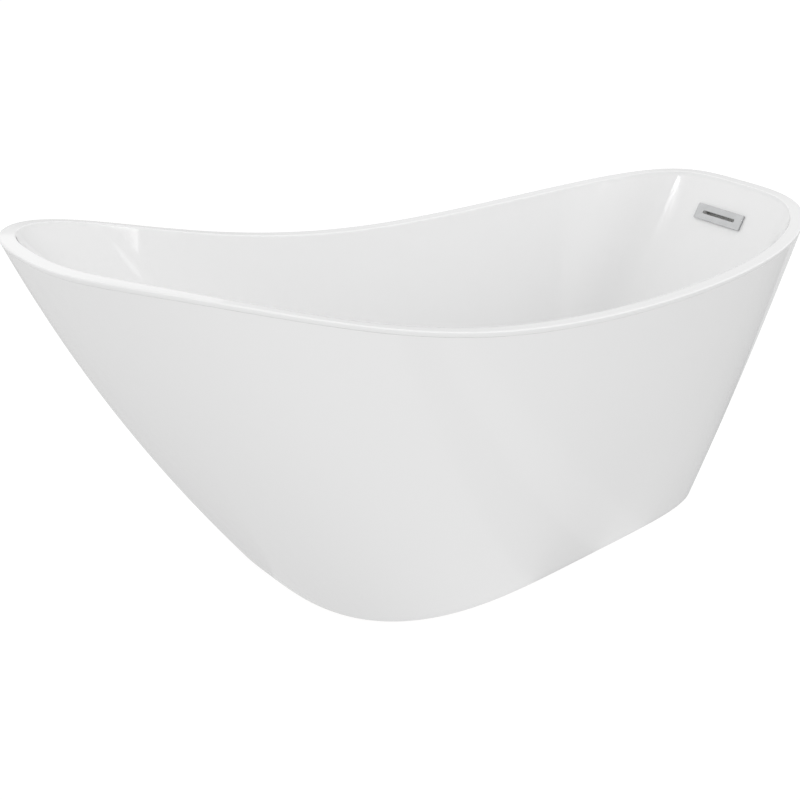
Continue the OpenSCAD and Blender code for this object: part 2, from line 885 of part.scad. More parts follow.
module drain_flange() {
    hub_r = 10;
    web_w = 4;
    color("silver") at_drain() difference() {
        union() {
            translate([0, 0, flange_z]) rotate_extrude()
                polygon([
                    [throat_bore, 0], [flange_r, 0], [flange_r, 0.8],
                    [flange_r - 1.2, flange_t], [throat_bore + 3, flange_t - 0.6],
                    [throat_bore, flange_t - 1.4]
                ]);
            translate([0, 0, throat_bottom])
                tube(throat_r, throat_bore, flange_z - throat_bottom + 0.5);
            translate([0, 0, web_z]) cylinder(r = hub_r, h = web_h);
            for (a = [0, 90]) rotate([0, 0, a]) translate([0, 0, web_z + web_h / 2])
                cube([2 * throat_bore + 1, web_w, web_h], center = true);
        }
        translate([0, 0, web_z - eps]) cylinder(r = cartridge_r + 0.02, h = web_h + 2 * eps);
    }
}

module waste_gasket() {
    color("black") at_drain(waste_top) tube(waste_top_r, drain_hole_r, waste_gasket_t);
}

module waste_body() {
    color("whitesmoke") at_drain() difference() {
        union() {
            translate([0, 0, waste_top - waste_top_t]) cylinder(r = waste_top_r, h = waste_top_t);
            translate([0, 0, waste_bottom]) cylinder(r = waste_r, h = waste_top - waste_bottom);
            translate([0, 0, spigot_bottom])
                cylinder(r = spigot_r, h = waste_bottom - spigot_bottom + 1);
            translate([0, 0, inlet_z]) rotate([0, 90, 0])
                cylinder(r = nipple_r, h = nipple_end - drain_x);
        }
        translate([0, 0, waste_bottom + waste_wall])
            cylinder(
                r = waste_r - waste_wall,
                h = waste_top - waste_bottom - waste_wall - waste_roof
            );
        translate([0, 0, spigot_bottom - eps])
            cylinder(r = spigot_bore, h = waste_bottom + waste_wall - spigot_bottom + 2 * eps);
        translate([0, 0, throat_bottom])
            cylinder(r = throat_r + 0.05, h = waste_top - throat_bottom + eps);
        translate([0, 0, inlet_z]) rotate([0, 90, 0])
            cylinder(r = nipple_bore, h = nipple_end - drain_x + eps);
    }
}

// ---- push-to-close plug ----

module plug_cap() {
    edge = 1.5;
    rise = 2.5;
    dome = [
        for (k = [0 : 8])
            let (x = (cap_r - edge) * (1 - k / 8))
            [x, cap_t - rise * pow(x / cap_r, 2)]
    ];
    color("silver") at_drain(cap_z) difference() {
        rotate_extrude() polygon(concat(
            [[0, 0], [cap_r - edge, 0], [cap_r, edge], [cap_r, cap_t - rise - edge / 2]],
            dome
        ));
        translate([0, 0, -eps]) cylinder(r = spindle_r, h = spindle_bite + eps);
    }
}

module plug_seal() {
    color("black") at_drain(cap_z - seal_h) tube(throat_bore - 0.3, seal_bore, seal_h);
}

module plug_spindle() {
    piston_top = spring_top + piston_h;
    color("gold") at_drain() {
        translate([0, 0, piston_top - eps])
            cylinder(r = spindle_r, h = cap_z + spindle_bite - piston_top + eps);
        translate([0, 0, spring_top]) cylinder(r = piston_r, h = piston_h);
    }
}

module click_cartridge() {
    color("dimgray") at_drain() difference() {
        translate([0, 0, cartridge_bottom])
            cylinder(r = cartridge_r, h = cartridge_top - cartridge_bottom);
        translate([0, 0, cartridge_bottom + cartridge_floor])
            cylinder(
                r = cartridge_bore,
                h = cartridge_top - cartridge_bottom - cartridge_floor - cartridge_lid
            );
        translate([0, 0, cartridge_top - cartridge_lid - eps])
            cylinder(r = spindle_r + spindle_play, h = cartridge_lid + 2 * eps);
    }
}

module click_spring() {
    last = spring_turns * spring_steps;
    climb = (spring_top - spring_base - 2 * spring_wire - 0.2) / last;
    points = [
        for (k = [0 : last], m = [0 : spring_sides - 1])
            let (
                a = 360 * k / spring_steps,
                b = 360 * m / spring_sides,
                r = spring_r + spring_wire * cos(b)
            )
            [r * cos(a), r * sin(a), k * climb + spring_wire * sin(b)]
    ];
    sides = [
        for (k = [0 : last - 1], m = [0 : spring_sides - 1])
            let (n = (m + 1) % spring_sides, a = k * spring_sides, b = a + spring_sides)
            [a + m, a + n, b + n, b + m]
    ];
    first_cap = [for (m = [0 : spring_sides - 1]) spring_sides - 1 - m];
    last_cap = [for (m = [0 : spring_sides - 1]) last * spring_sides + m];
    color("gainsboro") at_drain(spring_base + spring_wire + 0.1)
        polyhedron(points, concat(sides, [first_cap, last_cap]));
}

// ---- trap ----

module trap_union_nut() {
    union_h = union_top - union_bottom;
    color("whitesmoke") at_drain() difference() {
        union() {
            translate([0, 0, union_bottom]) cylinder(r = union_r - 2, h = union_h);
            translate([0, 0, union_bottom]) grip_ribs(union_r, 4, union_h);
        }
        translate([0, 0, union_bottom + union_lip]) cylinder(r = spigot_r + 0.05, h = union_h);
        translate([0, 0, union_bottom - eps]) cylinder(r = neck_r + 0.5, h = union_h);
    }
}

module trap_washer() {
    color("black") at_drain(spigot_bottom - washer_t)
        tube(spigot_r - 0.3, spigot_bore, washer_t);
}

module trap_body() {
    color("whitesmoke") at_drain() difference() {
        union() {
            translate([0, 0, collar_top - collar_t]) cylinder(r = collar_r, h = collar_t);
            translate([0, 0, dip_bottom]) cylinder(r = neck_r, h = collar_top - dip_bottom);
            difference() {
                union() {
                    translate([0, 0, cup_z]) cylinder(r = cup_r, h = cup_top - cup_z);
                    translate([0, 0, branch_z]) rotate([-90, 0, 0])
                        cylinder(r = branch_r, h = outlet_y);
                    translate([0, outlet_y, outlet_mouth])
                        cylinder(r = outlet_r, h = cup_top - outlet_mouth);
                }
                translate([0, 0, cup_z + cup_wall])
                    cylinder(r = cup_r - cup_wall, h = cup_top - cup_z - 2 * cup_wall);
                translate([0, 0, branch_z]) rotate([-90, 0, 0])
                    cylinder(r = branch_bore, h = outlet_y);
                translate([0, outlet_y, outlet_mouth - eps]) {
                    cylinder(r = outlet_bore, h = cup_top - cup_wall - outlet_mouth);
                    cylinder(r = socket_r, h = socket_depth + eps);
                }
            }
            translate([-weir_w / 2, weir_y, cup_z + 1])
                cube([weir_w, weir_t, weir_top - cup_z - 1]);
        }
        translate([0, 0, dip_bottom - eps]) cylinder(r = neck_bore, h = collar_top);
    }
}

module at_outlet(z) {
    translate([drain_x, outlet_y, z]) children();
}

module outlet_seal() {
    color("black") at_outlet(outlet_mouth - seal_gap - seal_t)
        tube(outlet_r - 1, socket_r, seal_t);
}

module outlet_nut() {
    h = nut_lip + nut_thread;
    color("whitesmoke") at_outlet(nut_bottom) difference() {
        union() {
            cylinder(r = outlet_r + nut_wall, h = h);
            grip_ribs(outlet_r + nut_wall + nut_rib, 2 * nut_rib, h);
        }
        translate([0, 0, nut_lip]) cylinder(r = outlet_r + 0.05, h = h);
        translate([0, 0, -eps]) cylinder(r = socket_r, h = h);
    }
}

basin_shell();
outer_skirt();
skirt_stiffener();
base_board();
frame_rail(-1);  // frame_rail_front
frame_rail(1);  // frame_rail_rear
crossbar(bar_x[0]);  // crossbar_backrest
crossbar(bar_x[1]);  // crossbar_overflow
frame_end_caps();
frame_bolts();
board_tee_nuts();
rail_screws();
foot_weld_nuts();
foot_lock_nuts();
for (k = [0 : 3]) {
    foot_stem(k);
    foot_pad(k);
    foot_sole(k);
}
overflow_cover();
overflow_seat();
overflow_gasket();
overflow_body();
overflow_screws();
overflow_hose();
hose_nut_upper();
hose_nut_lower();
drain_flange();
drain_flange_gasket();
waste_gasket();
waste_body();
plug_cap();
plug_seal();
plug_spindle();
click_cartridge();
click_spring();
trap_union_nut();
trap_washer();
trap_body();
outlet_seal();
outlet_nut();
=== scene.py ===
# Freestanding slipper bathtub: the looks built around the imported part.
# +X points to the overflow end, +Y to the back, +Z up, as in the part.
import json
import math

import bmesh
import bpy
import numpy as np
from mathutils import Matrix, Vector


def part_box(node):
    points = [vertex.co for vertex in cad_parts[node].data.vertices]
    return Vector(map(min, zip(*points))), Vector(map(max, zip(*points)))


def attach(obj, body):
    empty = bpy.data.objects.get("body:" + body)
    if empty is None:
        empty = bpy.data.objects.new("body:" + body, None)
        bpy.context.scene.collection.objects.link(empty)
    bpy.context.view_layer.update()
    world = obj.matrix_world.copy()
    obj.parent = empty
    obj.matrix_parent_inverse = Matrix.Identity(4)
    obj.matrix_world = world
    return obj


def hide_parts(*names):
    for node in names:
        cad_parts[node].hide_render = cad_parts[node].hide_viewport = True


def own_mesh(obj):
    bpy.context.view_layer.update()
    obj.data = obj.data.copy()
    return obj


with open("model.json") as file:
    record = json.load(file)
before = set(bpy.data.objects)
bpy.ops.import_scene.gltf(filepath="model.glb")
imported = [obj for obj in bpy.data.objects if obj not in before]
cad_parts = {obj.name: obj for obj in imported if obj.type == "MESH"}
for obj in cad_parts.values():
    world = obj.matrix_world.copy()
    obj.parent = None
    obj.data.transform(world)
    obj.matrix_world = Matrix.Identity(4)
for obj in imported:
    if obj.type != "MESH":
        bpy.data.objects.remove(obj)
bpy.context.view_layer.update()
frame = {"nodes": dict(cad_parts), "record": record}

MM = 0.001

# ---------------------------------------------------------------- camera

# The camera's place in metres and how it looks in degrees, fitted to the photograph
CAMERA_PLACE = (-1.8086, -2.2440, 1.4903)
CAMERA_TURN, CAMERA_DIP, CAMERA_ROLL = -37.37, 21.142, 0.895
CAMERA_LENS, CAMERA_SHIFT = 71.3, -0.0625


def make_camera():
    """The photograph's angle. The small shift moves the tub up in the picture."""
    data = bpy.data.cameras.new("camera")
    data.sensor_width = 36.0
    data.lens = CAMERA_LENS
    data.shift_y = CAMERA_SHIFT
    data.clip_end = 200
    camera = bpy.data.objects.new("camera", data)
    bpy.context.scene.collection.objects.link(camera)
    turn, dip, roll = (math.radians(a) for a in (CAMERA_TURN, 90 - CAMERA_DIP, CAMERA_ROLL))
    camera.matrix_world = (
        Matrix.Translation(CAMERA_PLACE)
        @ Matrix.Rotation(turn, 4, "Z")
        @ Matrix.Rotation(dip, 4, "X")
        @ Matrix.Rotation(roll, 4, "Z")
    )
    bpy.context.scene.camera = camera


# ---------------------------------------------------------------- materials


class Nodes:
    """A short way to write a material's node tree."""

    def __init__(self, tree):
        self.tree = tree

    def add(self, kind, **settings):
        node = self.tree.nodes.new("ShaderNode" + kind)
        for key, value in settings.items():
            setattr(node, key, value)
        return node

    def link(self, a, out, b, into):
        self.tree.links.new(a.outputs[out], b.inputs[into])


def new_material(name, color, rough, metallic=0.0):
    """A material with its plain values set: itself, its nodes, its shader, its coordinates."""
    material = bpy.data.materials.new(name)
    material.use_nodes = True
    material.diffuse_color = (*color, 1)
    n = Nodes(material.node_tree)
    shader = material.node_tree.nodes["Principled BSDF"]
    shader.inputs["Base Color"].default_value = (*color, 1)
    shader.inputs["Roughness"].default_value = rough
    shader.inputs["Metallic"].default_value = metallic
    coords = n.add("TexCoord")
    return material, n, shader, coords


def noise(n, coords, scale, detail, stretch=(1, 1, 1)):
    """Noise with scale waves to the metre, squeezed along an axis where stretch is over 1."""
    mapping = n.add("Mapping")
    mapping.inputs["Scale"].default_value = stretch
    texture = n.add("TexNoise")
    texture.inputs["Scale"].default_value = scale
    texture.inputs["Detail"].default_value = detail
    n.link(coords, "Object", mapping, "Vector")
    n.link(mapping, "Vector", texture, "Vector")
    return texture


def ramp(n, source, low, high, a, b):
    """A colour that goes from a to b as the source goes from low to high."""
    node = n.add("ValToRGB")
    node.color_ramp.elements[0].position = low
    node.color_ramp.elements[1].position = high
    node.color_ramp.elements[0].color = (*a, 1)
    node.color_ramp.elements[1].color = (*b, 1)
    n.link(source, 0, node, "Fac")
    return node


def spread(n, source, low, high):
    """A number from low to high as the source goes over its usual range."""
    node = n.add("MapRange")
    node.inputs["From Min"].default_value = 0.3
    node.inputs["From Max"].default_value = 0.7
    node.inputs["To Min"].default_value = low
    node.inputs["To Max"].default_value = high
    n.link(source, 0, node, "Value")
    return node


def tint(n, shader, source, low, high, a, b):
    """Base colour from a to b as the source goes from low to high."""
    n.link(ramp(n, source, low, high, a, b), "Color", shader, "Base Color")


def gloss(n, shader, source, low, high):
    """Roughness from low to high with the source."""
    n.link(spread(n, source, low, high), "Result", shader, "Roughness")


def bumps(n, shader, layers):
    """Bump layers, each (texture, distance in metres, strength)."""
    last = None
    for texture, distance, strength in layers:
        bump = n.add("Bump")
        bump.inputs["Distance"].default_value = distance
        bump.inputs["Strength"].default_value = strength
        n.link(texture, 0, bump, "Height")
        if last is not None:
            n.link(last, "Normal", bump, "Normal")
        last = bump
    n.link(last, "Normal", shader, "Normal")


def acrylic(name, color, shade):
    """Gloss sanitary acrylic: faint waves and peel from the mould, fine polishing marks."""
    m, n, shader, coords = new_material(name, color, 0.06)
    cloud = noise(n, coords, 2.2, 3)
    tint(n, shader, cloud, 0.3, 0.7, color, shade)
    marks = noise(n, coords, 38, 8, (1, 1, 5))
    gloss(n, shader, marks, 0.045, 0.085)
    wave = noise(n, coords, 4.5, 1)
    peel = noise(n, coords, 160, 2)
    bumps(n, shader, [(wave, 0.0004, 0.2), (peel, 0.00001, 0.25)])
    shader.inputs["IOR"].default_value = 1.49
    shader.inputs["Coat Weight"].default_value = 0.25
    shader.inputs["Coat Roughness"].default_value = 0.02
    return m


def metal(name, color, rough, marks, stretch=(1, 1, 1)):
    """Plated or brushed metal with fine marks in its gloss and colour."""
    m, n, shader, coords = new_material(name, color, rough, 1.0)
    cloud = noise(n, coords, 30, 5)
    darker = tuple(c * 0.9 for c in color)
    tint(n, shader, cloud, 0.3, 0.7, color, darker)
    lines = noise(n, coords, marks, 6, stretch)
    gloss(n, shader, lines, rough * 0.7, rough * 1.4)
    bumps(n, shader, [(lines, 0.00002, 0.15), (noise(n, coords, 40, 1), 0.0002, 0.08)])
    return m


def plastic(name, color, rough):
    """Moulded plastic: fine spark-eroded grain and slight flow marks."""
    m, n, shader, coords = new_material(name, color, rough)
    cloud = noise(n, coords, 14, 5)
    lighter = tuple(min(1, c * 1.1 + 0.004) for c in color)
    tint(n, shader, cloud, 0.35, 0.65, color, lighter)
    flow = noise(n, coords, 60, 4, (1, 1, 3))
    gloss(n, shader, flow, rough * 0.85, rough * 1.15)
    grain = noise(n, coords, 900, 3)
    bumps(n, shader, [(grain, 0.00003, 0.5), (flow, 0.0001, 0.1)])
    return m


def rubber(name, color):
    """Rubber with a fine grain and patches of grey bloom."""
    m, n, shader, coords = new_material(name, color, 0.75)
    bloom = noise(n, coords, 45, 6)
    grey = tuple(c * 1.8 + 0.01 for c in color)
    tint(n, shader, bloom, 0.4, 0.75, color, grey)
    gloss(n, shader, bloom, 0.65, 0.85)
    bumps(n, shader, [(noise(n, coords, 700, 4), 0.00005, 0.6)])
    return m


def powder_coat(name, color):
    """Powder paint with the fine peel of its baking."""
    m, n, shader, coords = new_material(name, color, 0.45)
    cloud = noise(n, coords, 10, 4)
    darker = tuple(c * 0.9 for c in color)
    tint(n, shader, cloud, 0.3, 0.7, color, darker)
    peel = noise(n, coords, 420, 3)
    gloss(n, shader, peel, 0.38, 0.55)
    bumps(n, shader, [(peel, 0.0001, 0.35)])
    return m


def plywood(name, plies):
    """Birch plywood: long grain on its faces, stacked plies on its edges."""
    m, n, shader, coords = new_material(name, (0.62, 0.45, 0.28), 0.6)
    grain = noise(n, coords, 26, 8, (0.12, 1, 1))
    face = ramp(n, grain, 0.3, 0.72, (0.67, 0.50, 0.32), (0.50, 0.34, 0.19))
    split = n.add("SeparateXYZ")
    n.link(coords, "Object", split, "Vector")
    wave = n.add("Math", operation="MULTIPLY")
    wave.inputs[1].default_value = plies
    n.link(split, "Z", wave, 0)
    sine = n.add("Math", operation="SINE")
    n.link(wave, 0, sine, 0)
    stripes = ramp(n, sine, 0.35, 0.6, (0.36, 0.23, 0.13), (0.66, 0.50, 0.33))
    geometry = n.add("NewGeometry")
    facing = n.add("SeparateXYZ")
    n.link(geometry, "Normal", facing, "Vector")
    flat = n.add("Math", operation="ABSOLUTE")
    n.link(facing, "Z", flat, 0)
    mix = n.add("Mix", data_type="RGBA")
    step = spread(n, flat, 0, 1)
    n.link(step, "Result", mix, 0)
    n.link(stripes, "Color", mix, 6)
    n.link(face, "Color", mix, 7)
    n.link(mix, 2, shader, "Base Color")
    gloss(n, shader, grain, 0.5, 0.72)
    bumps(n, shader, [(grain, 0.0004, 0.4)])
    return m


def make_materials():
    """One material for each slot of the record."""
    return {
        "basin_white": acrylic("basin_acrylic", (0.88, 0.88, 0.88), (0.872, 0.872, 0.872)),
        "skirt_white": acrylic("skirt_acrylic", (0.88, 0.88, 0.88), (0.872, 0.872, 0.872)),
        "board_wood": plywood("board_plywood", 3900.0),
        "stiffener_wood": plywood("strip_plywood", 3100.0),
        "frame_paint": powder_coat("frame_powder_coat", (0.36, 0.37, 0.385)),
        "cap_plastic": plastic("cap_plastic", (0.012, 0.012, 0.013), 0.45),
        "zinc_steel": metal("zinc_steel", (0.62, 0.64, 0.66), 0.32, 260),
        "yellow_zinc": metal("yellow_zinc", (0.72, 0.56, 0.27), 0.35, 220),
        "pad_plastic": plastic("pad_plastic", (0.02, 0.02, 0.022), 0.5),
        "black_rubber": rubber("black_rubber", (0.012, 0.012, 0.012)),
        "chrome": metal("chrome", (0.5, 0.505, 0.51), 0.07, 300),
        "screw_steel": metal("stainless", (0.6, 0.6, 0.6), 0.25, 500, (1, 1, 6)),
        "white_plastic": plastic("white_plastic", (0.74, 0.74, 0.73), 0.35),
        "nut_plastic": plastic("nut_plastic", (0.68, 0.68, 0.67), 0.4),
        "hose_grey": plastic("hose_plastic", (0.24, 0.25, 0.26), 0.42),
        "brass": metal("turned_brass", (0.72, 0.52, 0.22), 0.22, 600, (1, 1, 12)),
        "cartridge_plastic": plastic("cartridge_plastic", (0.03, 0.03, 0.032), 0.4),
    }


# ---------------------------------------------------------------- meshes

# Edges that bend by less than this many degrees are shaded smooth
SMOOTH_ANGLE = 34


def link_mesh(name, verts, faces, body, slot):
    """A new piece from points in metres: it rides on body and has the slot's material."""
    mesh = bpy.data.meshes.new(name)
    mesh.from_pydata([tuple(v) for v in verts], [], faces)
    mesh.validate()
    return link_piece(name, mesh, body, slot)


def mark_sharp(mesh, angle=SMOOTH_ANGLE):
    """Faces point outwards and are smooth, except across edges that bend more than angle."""
    bm = bmesh.new()
    bm.from_mesh(mesh)
    bmesh.ops.recalc_face_normals(bm, faces=bm.faces)
    limit = math.radians(angle)
    for face in bm.faces:
        face.smooth = True
    for edge in bm.edges:
        edge.smooth = len(edge.link_faces) == 2 and edge.calc_face_angle(0) < limit
    bm.to_mesh(mesh)
    bm.free()


def link_piece(name, mesh, body, slot, angle=SMOOTH_ANGLE):
    """The mesh as a piece of the scene, on its body and with its slot's material."""
    mark_sharp(mesh, angle)
    piece = bpy.data.objects.new(name, mesh)
    bpy.context.scene.collection.objects.link(piece)
    mesh.materials.clear()
    mesh.materials.append(MATERIALS[slot])
    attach(piece, body)
    return piece


def apply_modifiers(piece):
    bpy.context.view_layer.update()
    done = piece.evaluated_get(bpy.context.evaluated_depsgraph_get())
    mesh = bpy.data.meshes.new_from_object(done)
    piece.modifiers.clear()
    piece.data = mesh


def body_of(node):
    """The name of the body that the CAD node belongs to."""
    return next(body for body, members in BODIES.items() if node in members)


def slot_of(node):
    return SLOTS[node]


# ---------------------------------------------------------------- shells, in millimetres

# The sizes of the part's shells, mostly by the part's own names
TUB_LENGTH, TUB_WIDTH = 1700.0, 700.0
RIM_STATIONS = (724, 660, 581, 537, 529, 545, 590)
RIM_SQUARE = (2.65, 3.3)
RIM_WIDTH, RIM_EDGE, FLANGE_WALL = 28.0, 3.0, 6
LIP_HEIGHT, LIP_WALL = 10.0, 5
FOOT_LENGTH, FOOT_WIDTH, FOOT_SQUARE, FOOT_TAPER, FOOT_OFFSET = 960, 594, (3, 5.5), -0.2, 90
SWELL_BACKREST, SWELL_SIDE, SWELL_OVERFLOW = 31, 8, 4
FLOOR_GAP, SKIRT_REVEAL, SKIRT_WALL = 4.0, 0.8, 4.0
TONGUE_IN, TONGUE_WALL, TONGUE_DROP = 5.6, 4, 6.5
BED_LENGTH, BED_WIDTH, BED_SQUARE, BED_TAPER, BED_OFFSET = 890, 480, (3, 4), -0.15, 85
BED_MIDDLE = (130.0, 0.0)
BASIN_FLOOR, BASIN_WALL, BASIN_SWELL = 145.0, 5.0, 14
FILLET_WALL, FILLET_FLOOR = 0.2, 0.25
DRAIN = np.array([370.0, 0.0])
DRAIN_HOLE_R, SEAT_R, SEAT_DEPTH, SEAT_EASE = 24.0, 37.0, 1.5, 0.5
COVER_Z = 517
# Cuts through the wall behind the overflow cover: place across, length and width
WALL_CUTS = ((0, 96, 16), (55, 5.3, 5.2), (-55, 5.3, 5.2))
# The seam under the lip, how far in the skirt's top edge sits, and the share of the wall
# over which the skirt comes in to it. The seam is finer than the part's, as in the photograph.
SEAM, TOP_REVEAL, BLEND = 0.2, 0.2, 0.15
# Rounding of the skirt's foot
FOOT_EDGE = 1.5
# Points round each ring
RING_COUNT = 320


def signed_pow(v, p):
    return np.sign(v) * np.abs(v) ** p


def outline(d, length, width, square, taper, offset):
    """A superellipse with its own squareness at each end, tapered along X."""
    n = np.where(d[:, 0] < 0, square[0], square[1])
    u, v = signed_pow(d[:, 0], 2 / n), signed_pow(d[:, 1], 2 / n)
    return np.stack([offset + u * length / 2, v * (1 + taper * u) * width / 2], 1)


def rim_z(x):
    """Height of the rim at x: the polynomial through the rim's stations."""
    u = x / (TUB_LENGTH / 2)
    count = len(RIM_STATIONS)
    places = np.linspace(-1, 1, count)
    total = 0
    for k in range(count):
        share = 1.0
        for m in range(count):
            if m != k:
                share = share * (u - places[m]) / (places[k] - places[m])
        total = total + RIM_STATIONS[k] * share
    return total


class Shape:
    """The rings that both shells are drawn from, as in the part."""

    def __init__(self):
        a = 2 * np.pi * np.arange(RING_COUNT) / RING_COUNT
        v = np.stack([signed_pow(np.cos(a), 1.5), signed_pow(np.sin(a), 1.5)], 1)
        d = v / np.linalg.norm(v, axis=1)[:, None]
        self.rim = outline(d, TUB_LENGTH, TUB_WIDTH, RIM_SQUARE, 0, 0)
        self.height = rim_z(self.rim[:, 0])
        self.foot = outline(d, FOOT_LENGTH, FOOT_WIDTH, FOOT_SQUARE, FOOT_TAPER, FOOT_OFFSET)
        self.bed = outline(d, BED_LENGTH, BED_WIDTH, BED_SQUARE, BED_TAPER, BED_OFFSET)
        self.out = self.rim_normals()
        c = d[:, 0]
        end = np.where(c < 0, SWELL_BACKREST, SWELL_OVERFLOW)
        self.swell = SWELL_SIDE + (end - SWELL_SIDE) * c * c

    def rim_normals(self):
        """Which way is out of the tub, level, at each point of the rim."""
        n = np.where(self.rim[:, 0] < 0, *RIM_SQUARE)
        half = (TUB_LENGTH / 2, TUB_WIDTH / 2)
        g = np.stack([signed_pow(self.rim[:, k] / half[k], n - 1) / half[k] for k in (0, 1)], 1)
        return g / np.linalg.norm(g, axis=1)[:, None]

    def row(self, xy, z):
        return np.column_stack([xy, np.broadcast_to(z, (RING_COUNT,))])

    def skirt(self, z, inset):
        """A ring of the skirt's wall at height z, that far in from its outer face."""
        s = (z / (self.height - RIM_EDGE))[:, None]
        out = 4 * s * (1 - s) * self.swell[:, None] - inset
        return self.row(self.foot * (1 - s) + self.rim * s + self.out * out, z)

    def rim_section(self, inset, drop):
        """A ring of the rim, that far in from its outer edge and down from its top."""
        return self.row(self.rim - self.out * inset, self.height - drop)

    def basin(self, s):
        """A ring of the basin's inner wall at that share of its height."""
        top = self.rim - self.out * RIM_WIDTH
        xy = self.bed * (1 - s) + top * s + self.out * 4 * s * (1 - s) * BASIN_SWELL
        return self.row(xy, BASIN_FLOOR + s * (self.height - RIM_EDGE - BASIN_FLOOR))

    def fillet(self, t):
        """A ring of the curve between the basin's floor and its wall."""
        q = self.bed + self.out * 4 * FILLET_WALL * FILLET_WALL * BASIN_SWELL
        corner = self.row(q, BASIN_FLOOR)
        middle = np.array([*BED_MIDDLE, BASIN_FLOOR])
        start = corner + (middle - corner) * FILLET_FLOOR
        end = self.basin(FILLET_WALL)
        return start * (1 - t) ** 2 + corner * 2 * t * (1 - t) + end * t * t


def arc(count):
    """Sine and cosine pairs over a quarter turn."""
    return [(math.sin(a), math.cos(a)) for a in np.linspace(0, math.pi / 2, count)]


def skin(rows):
    """Faces round a closed loop of rings."""
    last, count = len(rows), len(rows[0])
    faces = []
    for k in range(last):
        a, b = k * count, (k + 1) % last * count
        for i in range(count):
            j = (i + 1) % count
            faces.append((a + i, b + i, b + j, a + j))
    return np.concatenate(rows) * MM, faces


def circle_row(shape, toward, r, z):
    """A ring round the drain, each point facing the matching point of the row toward."""
    d = toward[:, :2] - DRAIN
    d = d / np.linalg.norm(d, axis=1)[:, None]
    return shape.row(DRAIN + d * r, z)


def between(a, b, shares):
    return [a * (1 - s) + b * s for s in shares]


def underside(rows, wall):
    """Every second ring from the last to the first, moved out through the wall's thickness."""
    made = []
    for k in range(len(rows) - 2, 1, -2):
        along = np.roll(rows[k], -1, 0) - np.roll(rows[k], 1, 0)
        n = np.cross(along, rows[k + 1] - rows[k - 1])
        made.append(rows[k] + n / np.linalg.norm(n, axis=1)[:, None] * wall)
    return made


def build_basin():
    """The basin: drain seat, floor, wall, rim and lip, then its underside back to the drain."""
    s = Shape()
    inner = [s.fillet(t) for t in np.linspace(0, 1, 19)]
    inner += [s.basin(t) for t in np.linspace(FILLET_WALL, 1, 52)[1:]]
    edge = inner[0]
    seat_z = BASIN_FLOOR - SEAT_DEPTH
    drain = [
        circle_row(s, edge, DRAIN_HOLE_R, BASIN_FLOOR - BASIN_WALL),
        circle_row(s, edge, DRAIN_HOLE_R, seat_z),
        circle_row(s, edge, SEAT_R, seat_z),
        circle_row(s, edge, SEAT_R, BASIN_FLOOR - SEAT_EASE),
    ]
    seat_edge = circle_row(s, edge, SEAT_R + 2 * SEAT_EASE, BASIN_FLOOR)
    floor = between(seat_edge, edge, (0, 0.08, 0.2, 0.4, 0.65))
    rim = [s.rim_section(RIM_WIDTH - RIM_EDGE * (1 - c), RIM_EDGE * (1 - q)) for q, c in arc(7)]
    rim += [s.rim_section(inset, 0) for inset in (19, 14, 9)]
    rim += [s.rim_section(RIM_EDGE * (1 - q), RIM_EDGE * (1 - c)) for q, c in arc(7)]
    lip_z = s.height - LIP_HEIGHT
    lip = [s.skirt(lip_z + up, inset) for up, inset in ((0.4, 0), (0.12, 0.1), (0, 0.35))]
    lip += [
        s.skirt(lip_z, LIP_WALL),
        s.rim_section(LIP_WALL, FLANGE_WALL),
        s.rim_section(RIM_WIDTH - BASIN_WALL, FLANGE_WALL + 1),
    ]
    under = underside(inner, BASIN_WALL)
    under += between(edge - np.array([0, 0, BASIN_WALL]), drain[0], (0, 0.5, 0.85))
    verts, faces = skin(drain + floor + inner[:-1] + rim + lip + under)
    piece = link_mesh("basin_shell_fine", verts, faces, "tub", "basin_white")
    cut_overflow(piece)
    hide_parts("basin_shell")


def wall_frame():
    """The overflow's frame on the wall: across, up the wall and into the tub."""
    height = RIM_STATIONS[-1] - RIM_EDGE - BASIN_FLOOR
    share = (COVER_Z - BASIN_FLOOR) / height
    low_x, high_x = BED_OFFSET + BED_LENGTH / 2, TUB_LENGTH / 2 - RIM_WIDTH

    def point(t):
        x = low_x * (1 - t) + high_x * t + 4 * t * (1 - t) * BASIN_SWELL
        return Vector((x, 0, BASIN_FLOOR + t * height))

    up = (point(share + 0.01) - point(share - 0.01)).normalized()
    across = Vector((0, -1, 0))
    inward = across.cross(up)
    turn = Matrix((across, up, inward)).transposed().to_4x4()
    return Matrix.Translation(point(share) * MM) @ turn


def slot_cutter(middle, length, width, depth):
    """A block in metres with round ends, along X and as deep on both sides of Z = 0."""
    count = 16
    ring = []
    for side in (1, -1):
        for k in range(count + 1):
            a = math.pi * k / count - math.pi / 2
            ring.append((side * ((length - width) / 2 + width / 2 * math.cos(a)),
                         side * width / 2 * math.sin(a)))
    total = len(ring)
    shift = Vector((middle * MM, 0, 0))
    verts = [Vector((x * MM, y * MM, z * MM)) + shift for z in (-depth, depth) for x, y in ring]
    faces = [(i, (i + 1) % total, total + (i + 1) % total, total + i) for i in range(total)]
    faces += [tuple(reversed(range(total))), tuple(range(total, 2 * total))]
    return verts, faces


def cut_overflow(piece):
    """Cuts the overflow's slot and screw holes through the wall."""
    place = wall_frame()
    cutters = []
    for middle, length, width in WALL_CUTS:
        verts, faces = slot_cutter(middle, length, width, 2 * BASIN_WALL)
        mesh = bpy.data.meshes.new("cutter")
        mesh.from_pydata([place @ v for v in verts], [], faces)
        mark_sharp(mesh)
        cutter = bpy.data.objects.new("cutter", mesh)
        bpy.context.scene.collection.objects.link(cutter)
        cutters.append(cutter)
        change = piece.modifiers.new("cut", "BOOLEAN")
        change.operation = "DIFFERENCE"
        change.solver = "EXACT"
        change.object = cutter
    apply_modifiers(piece)
    mark_sharp(piece.data)
    for cutter in cutters:
        bpy.data.objects.remove(cutter)


